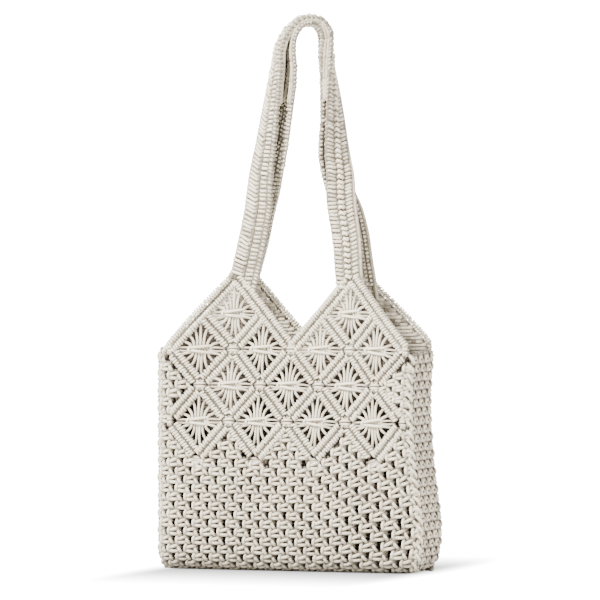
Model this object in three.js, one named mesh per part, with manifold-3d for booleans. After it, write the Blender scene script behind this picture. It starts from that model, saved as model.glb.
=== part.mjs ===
// A shoulder bag knotted from cotton cord, hanging by its two straps.
// Millimetres, +Z up, the front faces -Y and +X is to the right seen from the front.
// The origin is the hang point: the underside of the straps where they cross the hook.

import * as THREE from 'three';
import { mergeVertices } from 'three/addons/utils/BufferGeometryUtils.js';
import Module from 'manifold-3d';

const wasm = await Module();
wasm.setup();

// Cord and gaps
const fitGap = 0.3;
const netThickness = 5;
const sway = 9; // the body hangs this far to the left of the hang point
const backRise = 9; // the back's upper edge stands this much higher than the front's

// Diamond lattice of double half-hitch bars, on the front and on the back
const diamondHalfWidth = 37;
const diamondHalfHeight = 43;
const apexDrop = 301; // from the hang point to the topmost crossing of the front's bars
const barHalfWidth = 8.5;
const barRelief = 2.6;
const barGroove = 0.7;
const barBack = 4.4; // how far a bar reaches behind the outer face of the net

// Body
const baseDrop = 652;
const leftHalf = 170;
const rightHalf = 158;
const rightFlare = 8;
const sideDepth = 45;
const pinchInner = 60;
const pinchOuter = 150;
const leftRadius = 30;
const rightRadius = 14;
const baseRadius = 22;
const baseThickness = 6;
const seamShare = 0.3; // share of a corner's radius that the side walls take of the front and back
const seamStrip = 5; // net between the bars' ends and the side seams
const gussetDrop = 389;

// Stars: a fan of cords tied in its middle, one in each diamond
const starHalfWidth = 19;
const tieHalfWidth = 10.5;
const tieHalfHeight = 3.6;
const starRelief = 1.6;
const tieRelief = 3.4;
const starBack = 3.6;

// Straps
const strapWidth = 36;
const strapThickness = 7;
const strapSpread = 67; // half the distance between a strap's two legs at the bag
const strapDrop = 290; // from the hang point down to where the straps meet the peaks
const strapTail = 40; // how far the strap's cords run on beside the peak
const rootSplit = 14.4; // half the depth between the front and the back strap at the bag
const nestSplit = (strapThickness + 2 * fitGap) / 2; // the same over the hook, strap on strap
const hookTurn = 30; // the hook points this many degrees off the bag's own depth
const strapSteps = 32;
const ribWidth = 12; // from one row of knots to the next
const ribGroove = 1.6;

// Net gaps that are cut through
const gapHalfWidth = 4.2;
const gapHalfHeight = 5.2;
const knotPitch = 22.1;
const knotRise = 10.4;
const gapRows = 4;
const sideGapRows = 7;

// How the body's section changes from the peaks down to the base.
// fall: share of the body's height, pinch: share of sideDepth at the middle, flare: share of rightFlare.
const bodyRows = [
  { fall: 0.0, pinch: 0.3, flare: 0.2 },
  { fall: 0.15, pinch: 0.4, flare: 0.25 },
  { fall: 0.27, pinch: 0.5, flare: 0.25 },
  { fall: 0.39, pinch: 0.68, flare: 0.0 },
  { fall: 0.51, pinch: 0.88, flare: 0.0 },
  { fall: 0.66, pinch: 1.04, flare: 0.35 },
  { fall: 0.86, pinch: 1.1, flare: 1.0 },
  { fall: 1.0, pinch: 1.04, flare: 0.6 },
];

// One strap leg from the bag up to the hook.
// rise: share of strapDrop, left and right: shares of strapSpread, turn: share of the leg's
// turning, split: share of the way from rootSplit to nestSplit.
const legRows = [
  { rise: 0.0, left: 1.1, right: 0.97, turn: 0.0, split: 0.0 },
  { rise: 0.12, left: 0.97, right: 0.89, turn: 0.05, split: 0.12 },
  { rise: 0.22, left: 0.88, right: 0.78, turn: 0.13, split: 0.4 },
  { rise: 0.32, left: 0.78, right: 0.66, turn: 0.25, split: 0.7 },
  { rise: 0.42, left: 0.69, right: 0.59, turn: 0.38, split: 0.86 },
  { rise: 0.52, left: 0.6, right: 0.53, turn: 0.5, split: 0.93 },
  { rise: 0.62, left: 0.53, right: 0.49, turn: 0.61, split: 0.97 },
  { rise: 0.72, left: 0.46, right: 0.45, turn: 0.72, split: 1.0 },
  { rise: 0.82, left: 0.4, right: 0.41, turn: 0.84, split: 1.0 },
  { rise: 0.91, left: 0.37, right: 0.38, turn: 0.94, split: 1.0 },
  { rise: 0.97, left: 0.31, right: 0.33, turn: 0.98, split: 1.0 },
];

// The curve over the hook, as shares of strapSpread off the loop's middle and below its top
const shoulder = { spread: 0.17, drop: 0.035 };

// Rows of diamonds: how many half heights below the apex, and half widths from the middle
const diamondRows = [
  { level: 1, places: [-2, 2] },
  { level: 2, places: [-3, -1, 1, 3] },
  { level: 3, places: [-2, 0, 2] },
  { level: 4, places: [-3, -1, 1, 3] },
];

const diamondSlope = diamondHalfHeight / diamondHalfWidth;
const slopeAngle = Math.atan(diamondSlope);
const edgeLength = Math.hypot(diamondHalfWidth, diamondHalfHeight);
const tipRise = barHalfWidth / Math.cos(slopeAngle);
const bodyTop = -apexDrop + tipRise;
const bodyBottom = -baseDrop;
const bodyHeight = bodyTop - bodyBottom;
const lastLevel = 5;

const faces = [
  { name: 'front', side: -1, lift: 0 },
  { name: 'back', side: 1, lift: backRise },
];

function smooth(from, to, value) {
  const share = THREE.MathUtils.clamp((value - from) / (to - from), 0, 1);
  return share * share * (3 - 2 * share);
}

// A smooth line through a table's rows: a cubic on each stretch, with the slopes of its neighbours
function through(rows, key, column, value) {
  const last = rows.length - 1;
  const held = THREE.MathUtils.clamp(value, rows[0][key], rows[last][key]);
  let row = 0;
  while (row < last - 1 && rows[row + 1][key] < held) {
    row += 1;
  }
  const slope = (at) => {
    const before = Math.max(at - 1, 0);
    const after = Math.min(at + 1, last);
    return (rows[after][column] - rows[before][column]) / (rows[after][key] - rows[before][key]);
  };
  const span = rows[row + 1][key] - rows[row][key];
  const t = (held - rows[row][key]) / span;
  const start = (1 + 2 * t) * (1 - t) * (1 - t) * rows[row][column];
  const end = t * t * (3 - 2 * t) * rows[row + 1][column];
  const lean = t * (1 - t) * (1 - t) * slope(row) - t * t * (1 - t) * slope(row + 1);
  return start + end + lean * span;
}

function arcDrop(radius, past) {
  const held = THREE.MathUtils.clamp(past, 0, radius);
  return radius - Math.sqrt(radius * radius - held * held);
}

const fallAt = (z) => (bodyTop - z) / bodyHeight;
const radiusAt = (x) => (x < 0 ? leftRadius : rightRadius);
const plainHalf = (x) => (x < 0 ? leftHalf : rightHalf);
const seamAt = (side) => plainHalf(side) - radiusAt(side) * seamShare;
const barsReach = (side) => seamAt(side) - seamStrip;
const cutReach = 2 * (leftHalf + rightHalf); // long enough for a cut to pass right through
const baseInset = (z) => arcDrop(baseRadius, bodyBottom + baseRadius - z);

function halfAt(x, z) {
  return x < 0 ? leftHalf : rightHalf + rightFlare * through(bodyRows, 'fall', 'flare', fallAt(z));
}

// Half the bag's depth at a place on its front or back, x from the body's middle
function depthAt(x, z) {
  const middle = sideDepth * through(bodyRows, 'fall', 'pinch', fallAt(z));
  const depth = middle + (sideDepth - middle) * smooth(pinchInner, pinchOuter, Math.abs(x));
  const corner = arcDrop(radiusAt(x), Math.abs(x) - (halfAt(x, z) - radiusAt(x)));
  return depth - corner - baseInset(z);
}

// How far a side wall stands out from the body's middle
function reachAt(side, y, z) {
  const radius = radiusAt(side);
  const corner = arcDrop(radius, Math.abs(y) - (sideDepth - radius - baseInset(z)));
  return halfAt(side, z) - corner - baseInset(z);
}

function geometryFrom(points, triangles) {
  const geometry = new THREE.BufferGeometry();
  geometry.setAttribute('position', new THREE.Float32BufferAttribute(points.flat(), 3));
  geometry.setIndex(triangles.flat());
  return geometry;
}

// Turns a closed mesh so that its faces point outwards
function facingOut(geometry) {
  const position = geometry.getAttribute('position');
  const index = geometry.getIndex();
  const corner = [new THREE.Vector3(), new THREE.Vector3(), new THREE.Vector3()];
  let volume = 0;
  for (let i = 0; i < index.count; i += 3) {
    corner.forEach((point, k) => point.fromBufferAttribute(position, index.getX(i + k)));
    volume += corner[0].dot(corner[1].clone().cross(corner[2])) / 6;
  }
  if (volume < 0) {
    for (let i = 0; i < index.count; i += 3) {
      const second = index.getX(i + 1);
      index.setX(i + 1, index.getX(i + 2));
      index.setX(i + 2, second);
    }
  }
  return geometry;
}

function solidOf(geometry) {
  const bare = geometry.clone();
  bare.deleteAttribute('normal');
  bare.deleteAttribute('uv');
  const merged = mergeVertices(bare, 1e-4);
  return new wasm.Manifold(new wasm.Mesh({
    numProp: 3,
    vertProperties: new Float32Array(merged.getAttribute('position').array),
    triVerts: new Uint32Array(merged.getIndex().array),
  }));
}

function geometryOf(solid) {
  const mesh = solid.getMesh();
  const geometry = new THREE.BufferGeometry();
  geometry.setAttribute('position', new THREE.BufferAttribute(mesh.vertProperties, 3));
  geometry.setIndex(new THREE.BufferAttribute(mesh.triVerts, 1));
  return geometry;
}

// A closed sheet between two grids of points, the outer face and the inner face
function sheet(columns, rows, outer, inner) {
  const wide = columns.length;
  const points = [];
  const triangles = [];
  [outer, inner].forEach((place) => {
    rows.forEach((row) => columns.forEach((column) => points.push(place(column, row))));
  });
  const layer = wide * rows.length;
  const at = (face, row, column) => face * layer + row * wide + column;
  const quad = (a, b, c, d) => triangles.push([a, b, c], [a, c, d]);
  for (let row = 0; row < rows.length - 1; row += 1) {
    for (let column = 0; column < wide - 1; column += 1) {
      quad(at(0, row, column), at(0, row, column + 1), at(0, row + 1, column + 1), at(0, row + 1, column));
      quad(at(1, row, column), at(1, row + 1, column), at(1, row + 1, column + 1), at(1, row, column + 1));
    }
    const end = wide - 1;
    quad(at(0, row, 0), at(0, row + 1, 0), at(1, row + 1, 0), at(1, row, 0));
    quad(at(0, row, end), at(1, row, end), at(1, row + 1, end), at(0, row + 1, end));
  }
  for (let column = 0; column < wide - 1; column += 1) {
    const end = rows.length - 1;
    quad(at(0, 0, column), at(1, 0, column), at(1, 0, column + 1), at(0, 0, column + 1));
    quad(at(0, end, column), at(0, end, column + 1), at(1, end, column + 1), at(1, end, column));
  }
  return facingOut(geometryFrom(points, triangles));
}

function spaced(from, to, count) {
  return Array.from({ length: count + 1 }, (unused, i) => from + ((to - from) * i) / count);
}

// A straight prism along Y or X over an outline given as pairs across and up
function prism(outline, along, from = -cutReach, to = cutReach) {
  const shape = new THREE.Shape(outline.map(([across, up]) => new THREE.Vector2(across, up)));
  const geometry = new THREE.ExtrudeGeometry(shape, { depth: to - from, bevelEnabled: false });
  geometry.rotateX(Math.PI / 2);
  geometry.translate(0, to, 0);
  if (along === 'x') {
    geometry.rotateZ(Math.PI / 2);
    geometry.scale(-1, 1, 1);
  }
  geometry.setIndex(geometry.getIndex() || [...Array(geometry.getAttribute('position').count).keys()]);
  return solidOf(facingOut(mergedPlain(geometry)));
}

function mergedPlain(geometry) {
  geometry.deleteAttribute('normal');
  geometry.deleteAttribute('uv');
  return mergeVertices(geometry, 1e-4);
}

function diamond(across, up, halfWidth, halfHeight) {
  return [
    [across - halfWidth, up],
    [across, up - halfHeight],
    [across + halfWidth, up],
    [across, up + halfHeight],
  ];
}

// Share of an edge that a distance square to it takes along its crossing neighbour
const barShare = barHalfWidth / (edgeLength * Math.sin(2 * slopeAngle));
const ridgeShare = barShare / 2;
const gapShare = fitGap / (edgeLength * Math.sin(2 * slopeAngle));
const levelAt = (level, lift) => -apexDrop - level * diamondHalfHeight + lift;

function cellsOf(face) {
  return diamondRows.flatMap((row) => row.places.map((place) => ({
    x: place * diamondHalfWidth,
    z: levelAt(row.level, face.lift),
  })));
}

// The height of a bar's face over the net: a groove along its middle and a ridge on each side
function barHeight(share) {
  const off = Math.abs(share - Math.round(share));
  if (off > barShare * 1.01) {
    return -Infinity;
  }
  if (off > ridgeShare * 1.5) {
    return 0;
  }
  return off > ridgeShare * 0.5 ? barRelief : barGroove;
}

// All double bars of one side as one solid, laid out diamond by diamond
function lattice(face) {
  const marks = [-barShare, -ridgeShare, 0, ridgeShare, barShare];
  const steps = [...marks, ...marks.map((mark) => 1 + mark)];
  const places = new Map();
  const points = [];
  const quads = new Map();
  const vertex = (cell, p, q) => {
    const x = cell.x + (p + q - 1) * diamondHalfWidth;
    const z = cell.z + (p - q) * diamondHalfHeight;
    const key = `${x.toFixed(2)} ${z.toFixed(2)}`;
    if (!places.has(key)) {
      places.set(key, points.length);
      points.push({ x, z, relief: Math.max(barHeight(p), barHeight(q)) });
    }
    return places.get(key);
  };
  cellsOf(face).forEach((cell) => {
    for (let i = 0; i < steps.length - 1; i += 1) {
      for (let j = 0; j < steps.length - 1; j += 1) {
        if (i !== marks.length - 1 || j !== marks.length - 1) {
          const corners = [[i, j], [i + 1, j], [i + 1, j + 1], [i, j + 1]];
          const ring = corners.map(([a, b]) => vertex(cell, steps[a], steps[b]));
          quads.set([...ring].sort((a, b) => a - b).join(' '), ring);
        }
      }
    }
  });
  const count = points.length;
  const outer = points.map(({ x, z, relief }) => [x, face.side * (depthAt(x, z) + relief), z]);
  const inner = points.map(({ x, z }) => [x, face.side * (depthAt(x, z) - barBack), z]);
  const triangles = [];
  const edges = new Map();
  quads.forEach(([a, b, c, d]) => {
    triangles.push([a, b, c], [a, c, d], [a + count, c + count, b + count], [a + count, d + count, c + count]);
    [[a, b], [b, c], [c, d], [d, a]].forEach(([from, to]) => {
      if (edges.has(`${to} ${from}`)) {
        edges.delete(`${to} ${from}`);
      } else {
        edges.set(`${from} ${to}`, [from, to]);
      }
    });
  });
  edges.forEach(([from, to]) => {
    triangles.push([from, from + count, to + count], [from, to + count, to]);
  });
  const bars = solidOf(facingOut(geometryFrom([...outer, ...inner], triangles)));
  return geometryOf([-1, 1].reduce((solid, side) => solid.subtract(beyond(side, barsReach(side))), bars));
}

// Everything further out than a place on one side
function beyond(side, reach) {
  const outline = [[reach, -cutReach], [cutReach, -cutReach], [cutReach, cutReach], [reach, cutReach]];
  return prism(outline.map(([across, up]) => [side * across, up]), 'y');
}

// The net of one side: the sheet below and beside the bars, with its gaps cut through
function net(face) {
  const low = bodyBottom + baseThickness + fitGap;
  const high = -gussetDrop + face.lift;
  const curve = bodyBottom + baseRadius;
  const rows = [low, (low + curve) / 2, ...spaced(curve, high, 7)];
  const columns = spaced(-seamAt(-1), seamAt(1), 14);
  const outer = (x, z) => [x, face.side * depthAt(x, z), z];
  const inner = (x, z) => [x, face.side * (depthAt(x, z) - netThickness), z];
  let solid = solidOf(sheet(columns, rows, outer, inner));
  const grow = 1 + 2 * (barShare + gapShare);
  cellsOf(face).forEach((cell) => {
    const outline = diamond(cell.x, cell.z, diamondHalfWidth * grow, diamondHalfHeight * grow);
    const cut = [-1, 1].reduce(
      (block, side) => block.subtract(beyond(side, barsReach(side) + fitGap)),
      prism(outline, 'y'),
    );
    solid = solid.subtract(cut);
  });
  const lowest = levelAt(lastLevel, face.lift) - tipRise;
  for (let row = 0; row < gapRows; row += 1) {
    const z = lowest - knotRise - 2 * row * knotRise;
    const shift = row % 2 ? 0.5 : 0;
    for (let place = -3; place <= 3; place += 1) {
      const x = (place + shift) * 2 * knotPitch;
      if (Math.abs(x) < seamAt(x) - knotPitch / 2) {
        solid = solid.subtract(prism(diamond(x, z, gapHalfWidth, gapHalfHeight), 'y'));
      }
    }
  }
  [-1, 1].forEach((side) => {
    const x = side * (barsReach(side) - knotPitch / 2);
    solid = solid.subtract(prism(diamond(x, levelAt(3, face.lift), gapHalfWidth, gapHalfHeight), 'y'));
  });
  return geometryOf(solid);
}

// One star: its cords fan out above and below a tie, and pleat the face of the solid
function star(cell, face) {
  const halfWidth = diamondHalfWidth * (1 - 2 * (barShare + gapShare));
  const halfHeight = diamondHalfHeight * (1 - 2 * (barShare + gapShare));
  const fan = (share) => halfHeight * (1 - (Math.abs(share) * starHalfWidth) / halfWidth);
  const rows = [
    { width: starHalfWidth, up: (share) => -fan(share), relief: (i) => (i % 2 ? starRelief : 0) },
    { width: tieHalfWidth, up: () => -tieHalfHeight, relief: () => tieRelief },
    { width: tieHalfWidth, up: () => tieHalfHeight, relief: () => tieRelief },
    { width: starHalfWidth, up: (share) => fan(share), relief: (i) => (i % 2 ? starRelief : 0) },
  ];
  const place = (share, row) => [cell.x + share * row.width, cell.z + row.up(share)];
  const shares = spaced(-1, 1, 4);
  const outer = (share, row) => {
    const [x, z] = place(share, row);
    return [x, face.side * (depthAt(x, z) + row.relief(shares.indexOf(share))), z];
  };
  const inner = (share, row) => {
    const [x, z] = place(share, row);
    return [x, face.side * (depthAt(x, z) - starBack), z];
  };
  return sheet(shares, rows, outer, inner);
}

// The net wall of one side, from seam to seam round the bag's two corners
function gusset(side) {
  const low = bodyBottom + baseThickness + fitGap;
  const curve = bodyBottom + baseRadius;
  const columns = spaced(-1, 1, 8);
  const rows = [low, (low + curve) / 2, ...spaced(curve, -gussetDrop, 5)];
  const lean = (share, z) => {
    const upward = Math.max(z - curve, 0) / (-gussetDrop - curve);
    return z + (backRise * upward * (share + 1)) / 2;
  };
  const reachOut = (share, z) => {
    const radius = radiusAt(side);
    const past = seamAt(side) - (halfAt(side, z) - radius) + baseInset(z);
    const y = share * (sideDepth - baseInset(z) - arcDrop(radius, past) - fitGap);
    return [y, reachAt(side, y, z)];
  };
  const outer = (share, row) => {
    const z = lean(share, row);
    const [y, x] = reachOut(share, z);
    return [side * x, y, z];
  };
  const inner = (share, row) => {
    const [x, y, z] = outer(share, row);
    return [x - side * netThickness, y * (1 - netThickness / sideDepth), z];
  };
  let solid = solidOf(sheet(columns, rows, outer, inner));
  solid = solid.intersect(beyond(side, seamAt(side) + fitGap));
  for (let row = 0; row < sideGapRows; row += 1) {
    const z = -gussetDrop - 3 * knotRise - row * 3 * knotRise;
    const y = row % 2 ? knotPitch / 2 : -knotPitch / 2;
    solid = solid.subtract(prism(diamond(y, z, gapHalfWidth, gapHalfHeight), 'x'));
  }
  return geometryOf(solid);
}

// The knotted base: a flat plate whose lower edge is rounded like the walls above it
function base() {
  const heights = [0, 0.12, 0.4, 1].map((share) => bodyBottom + share * baseThickness);
  const corner = spaced(0, 1, 4);
  const ring = (z) => {
    const inset = baseInset(z);
    const arcs = [[1, -1], [1, 1], [-1, 1], [-1, -1]];
    return arcs.flatMap(([sideX, sideY], turn) => corner.map((share) => {
      const radius = Math.max(radiusAt(sideX), baseRadius + fitGap) - inset;
      const angle = ((turn - 1 + share) * Math.PI) / 2;
      const centreX = sideX * (halfAt(sideX, z) - inset - radius);
      const centreY = sideY * (sideDepth - inset - radius);
      return [centreX + radius * Math.cos(angle), centreY + radius * Math.sin(angle), z];
    }));
  };
  const rings = heights.map(ring);
  const wide = rings[0].length;
  const triangles = [];
  for (let level = 0; level < rings.length - 1; level += 1) {
    for (let i = 0; i < wide; i += 1) {
      const next = (i + 1) % wide;
      const a = level * wide + i;
      const b = level * wide + next;
      triangles.push([a, b, b + wide], [a, b + wide, a + wide]);
    }
  }
  const top = (rings.length - 1) * wide;
  for (let i = 1; i < wide - 1; i += 1) {
    triangles.push([0, i + 1, i], [top, top + i, top + i + 1]);
  }
  return geometryOf(solidOf(facingOut(geometryFrom(rings.flat(), triangles))));
}

// Where a strap's cords leave the bag and how they run over the hook, halfway between both straps
function strapPath() {
  const stations = [];
  const station = (spread, z, turn, split, side) => {
    const around = THREE.MathUtils.degToRad(hookTurn * turn);
    const facing = side < 0 ? 180 - (90 - hookTurn) * turn : (90 + hookTurn) * turn;
    stations.push({
      centre: new THREE.Vector3(side * spread * Math.cos(around), side * spread * Math.sin(around), z),
      facing: THREE.MathUtils.degToRad(facing),
      split: rootSplit + (nestSplit - rootSplit) * split,
    });
  };
  const topHeight = nestSplit + strapThickness / 2;
  const root = legRows[0];
  const next = legRows[1];
  const leanOf = (key) => ((root[key] - next[key]) * strapSpread) / ((next.rise - root.rise) * strapDrop);
  station(strapSpread * root.left + strapTail * leanOf('left'), -strapDrop - strapTail, 0, 0, -1);
  legRows.forEach((row) => {
    station(strapSpread * row.left, strapDrop * (row.rise - 1), row.turn, row.split, -1);
  });
  station(strapSpread * shoulder.spread, topHeight - strapSpread * shoulder.drop, 1, 1, -1);
  station(0, topHeight, 1, 1, 1);
  station(strapSpread * shoulder.spread, topHeight - strapSpread * shoulder.drop, 1, 1, 1);
  [...legRows].reverse().forEach((row) => {
    station(strapSpread * row.right, strapDrop * (row.rise - 1), row.turn, row.split, 1);
  });
  station(strapSpread * root.right + strapTail * leanOf('right'), -strapDrop - strapTail, 0, 0, 1);
  return stations;
}

// A strap: three rows of knots side by side, as a band with three ribs on its outer face
function strap(face) {
  const stations = strapPath();
  const path = new THREE.CatmullRomCurve3(stations.map((station) => station.centre), false, 'centripetal');
  const turns = stations.map(({ facing, split }) => {
    return new THREE.Vector3(Math.cos(facing), Math.sin(facing), split);
  });
  const turning = new THREE.CatmullRomCurve3(turns, false, 'centripetal');
  const half = strapWidth / 2;
  const deep = strapThickness / 2;
  const rib = face.side < 0 ? 1 : -1;
  const ridge = rib * deep;
  const groove = rib * (deep - ribGroove);
  const section = [
    [-half, 0], [-ribWidth, ridge], [-ribWidth / 2, groove], [0, ridge],
    [ribWidth / 2, groove], [ribWidth, ridge], [half, 0], [ribWidth, -ridge], [-ribWidth, -ridge],
  ];
  const points = [];
  const count = strapSteps + 1;
  for (let i = 0; i < count; i += 1) {
    const at = i / strapSteps;
    const centre = path.getPoint(at);
    const tangent = path.getTangent(at);
    const held = turning.getPoint(at);
    const across = new THREE.Vector3(held.x, held.y, 0);
    across.addScaledVector(tangent, -across.dot(tangent)).normalize();
    const outward = tangent.clone().cross(across);
    const offset = -face.side * held.z;
    section.forEach(([wide, deepAt]) => {
      const point = centre.clone().addScaledVector(outward, offset + deepAt).addScaledVector(across, wide);
      points.push([point.x, point.y, point.z]);
    });
  }
  const ring = section.length;
  const triangles = [];
  for (let i = 0; i < count - 1; i += 1) {
    for (let k = 0; k < ring; k += 1) {
      const next = (k + 1) % ring;
      const a = i * ring + k;
      const b = i * ring + next;
      triangles.push([a, b, b + ring], [a, b + ring, a + ring]);
    }
  }
  const end = (count - 1) * ring;
  const capFan = [[0, 1, 8], [1, 2, 8], [2, 3, 8], [3, 7, 8], [3, 4, 7], [4, 5, 7], [5, 6, 7]];
  capFan.forEach(([a, b, c]) => triangles.push([a, c, b], [end + a, end + b, end + c]));
  let solid = solidOf(facingOut(geometryFrom(points, triangles)));
  [-1, 1].forEach((side) => {
    const x = side * 2 * diamondHalfWidth - sway;
    const tip = bodyTop + face.lift + fitGap / Math.cos(slopeAngle);
    const foot = tip - strapSpread * diamondSlope;
    const outline = [[x, tip], [x - strapSpread, foot], [x + strapSpread, foot]];
    solid = solid.subtract(prism(outline, 'y'));
  });
  return geometryOf(solid);
}

const cotton = new THREE.MeshStandardMaterial({ color: 0xe2dacb, roughness: 0.95, metalness: 0 });
const bag = new THREE.Group();
const body = new THREE.Group();
body.position.x = -sway;
bag.add(body);

function add(parent, name, geometry) {
  const plain = geometry.index ? geometry : mergedPlain(geometry);
  plain.computeVertexNormals();
  const mesh = new THREE.Mesh(plain, cotton);
  mesh.name = name;
  parent.add(mesh);
}

faces.forEach((face) => {
  add(body, `${face.name}_net`, net(face));
  add(body, `${face.name}_bars`, lattice(face));
  cellsOf(face).forEach((cell, i) => add(body, `${face.name}_star_${i + 1}`, star(cell, face)));
  add(bag, `${face.name}_strap`, strap(face));
});
add(body, 'left_gusset', gusset(-1));
add(body, 'right_gusset', gusset(1));
add(body, 'base', base());

export default bag;
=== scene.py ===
import bpy
import numpy as np
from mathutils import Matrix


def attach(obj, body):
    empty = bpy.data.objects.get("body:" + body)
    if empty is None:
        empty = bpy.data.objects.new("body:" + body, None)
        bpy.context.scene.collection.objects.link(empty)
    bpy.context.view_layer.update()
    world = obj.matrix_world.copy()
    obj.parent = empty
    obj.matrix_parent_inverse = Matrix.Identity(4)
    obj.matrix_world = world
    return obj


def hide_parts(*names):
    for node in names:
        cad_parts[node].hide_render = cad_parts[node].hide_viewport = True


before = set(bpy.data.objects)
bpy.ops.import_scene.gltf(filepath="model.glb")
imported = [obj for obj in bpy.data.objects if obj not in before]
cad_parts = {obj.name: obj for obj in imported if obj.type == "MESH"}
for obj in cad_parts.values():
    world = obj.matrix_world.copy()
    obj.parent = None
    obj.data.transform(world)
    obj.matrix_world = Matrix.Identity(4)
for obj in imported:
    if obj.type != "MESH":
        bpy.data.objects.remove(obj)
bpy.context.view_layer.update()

# The front and the back net, below and beside the diamonds: rows of square knots in soft 4 mm
# cotton cord, each row half a knot across from the one above, with a small gap beside each knot.
# All lengths are metres, and x is measured from the body's own middle until a point is placed.
knot_pitch, knot_rise = 0.0221, 0.0104
net_middle, net_top = -0.0025, 0.0016
sway, side_depth = 0.009, 0.045
left_half, right_half, right_flare = 0.172, 0.158, 0.013
left_radius, right_radius, base_radius = 0.030, 0.014, 0.022
pinch_inner, pinch_outer = 0.060, 0.150
body_top, body_bottom, back_rise = -0.288, -0.652, 0.012
seam_share = 0.3
side_top = -0.389
body_rows = {
    "fall": [0.0, 0.15, 0.27, 0.39, 0.51, 0.66, 0.86, 1.0],
    "pinch": [0.3, 0.4, 0.5, 0.68, 0.88, 1.04, 1.1, 1.04],
    "flare": [0.2, 0.25, 0.25, 0.0, 0.0, 0.35, 1.0, 0.6],
}
chance = np.random.default_rng(5)


def smooth(start, end, value):
    """0 before start, 1 past end, and between them 3t squared less 2t cubed of the share t."""
    share = np.clip((value - start) / (end - start), 0, 1)
    return share * share * (3 - 2 * share)


def through(places, heights, value):
    """A smooth line through a table: on each stretch the cubic whose end slopes are its neighbours'."""
    places, heights = np.array(places), np.array(heights)
    last = len(places) - 1
    before, after = np.maximum(np.arange(last + 1) - 1, 0), np.minimum(np.arange(last + 1) + 1, last)
    slopes = (heights[after] - heights[before]) / (places[after] - places[before])
    held = np.clip(value, places[0], places[-1])
    row = np.clip(np.searchsorted(places, held, side="right") - 1, 0, last - 1)
    span = places[row + 1] - places[row]
    t = (held - places[row]) / span
    ends = (1 + 2 * t) * (1 - t) ** 2 * heights[row] + t * t * (3 - 2 * t) * heights[row + 1]
    return ends + (t * (1 - t) ** 2 * slopes[row] - t * t * (1 - t) * slopes[row + 1]) * span


def arc_drop(radius, past):
    """How far a quarter circle of this radius has fallen away once it has run on by past."""
    held = np.clip(past, 0, radius)
    return radius - np.sqrt(radius * radius - held * held)


def radius_at(x):
    return np.where(x < 0, left_radius, right_radius)


def half_at(x, z):
    """Half the body's width: fixed on the left, and flaring with the height on the right."""
    flare = through(body_rows["fall"], body_rows["flare"], (body_top - z) / (body_top - body_bottom))
    return np.where(x < 0, left_half, right_half + right_flare * flare)


def depth_at(x, z):
    """Half the body's depth: pinched at the middle by the table, less its round corners and lower edge."""
    pinch = through(body_rows["fall"], body_rows["pinch"], (body_top - z) / (body_top - body_bottom))
    middle = side_depth * pinch
    depth = middle + (side_depth - middle) * smooth(pinch_inner, pinch_outer, np.abs(x))
    corner = arc_drop(radius_at(x), np.abs(x) - half_at(x, z) + radius_at(x))
    return depth - corner - arc_drop(base_radius, body_bottom + base_radius - z)


def height_at(drop):
    """The height of a place this far down the wall: straight down, then round the lower edge's arc."""
    past = np.clip(drop + body_bottom + base_radius, 0, base_radius * np.pi / 2)
    return -np.minimum(drop, -body_bottom - base_radius) - base_radius * np.sin(past / base_radius)


def drawn_up(x, drop):
    """How far the rows are drawn up at the lower right: a slope past the middle, eased in and out."""
    past = np.maximum(x - 0.030, 0)
    slope = 0.26 * past * past / (past + 0.025)
    return slope * smooth(0.40, 0.50, drop) * (1 - 0.75 * smooth(0.55, 0.665, drop))


def wall(side):
    """The front (side -1) or the back (side 1) as a surface of across and drop, seen from outside."""
    def surface(across, drop):
        x = -side * across
        z = height_at(drop)
        x = x + (half_at(np.ones_like(z), z) - right_half) * smooth(0.06, 0.15, x)
        return np.stack([x - sway, side * depth_at(x, z), z], axis=-1)
    return surface


def lift_at(side, x):
    """How far a wall's pattern is raised: the back's is, by back_rise, less past its right peak."""
    past_peak = 0.006 * smooth(-0.125, -0.092, x) * (1 - smooth(-0.082, -0.070, x))
    return (side > 0) * (back_rise * (1 - 0.85 * smooth(0.045, 0.100, x)) + past_peak)


def stand_off(surface, across, drop, relief):
    """The surface's point moved out by relief along the cross product of its slopes, and that way out."""
    step = 0.0004
    along_drop = surface(across, drop + step) - surface(across, drop - step)
    along_across = surface(across + step, drop) - surface(across - step, drop)
    outward = np.cross(along_drop, along_across)
    outward /= np.linalg.norm(outward, axis=-1, keepdims=True)
    return surface(across, drop) + outward * relief[..., None], outward, relief


def bent(points, count):
    """Places along Bezier curves: the cubic blend of each row of four points, at even shares."""
    t = np.linspace(0, 1, count)[:, None]
    blend = np.hstack([(1 - t) ** 3, 3 * t * (1 - t) ** 2, 3 * t * t * (1 - t), t ** 3])
    return np.einsum("ck,...kd->...cd", blend, np.asarray(points, float))


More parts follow.
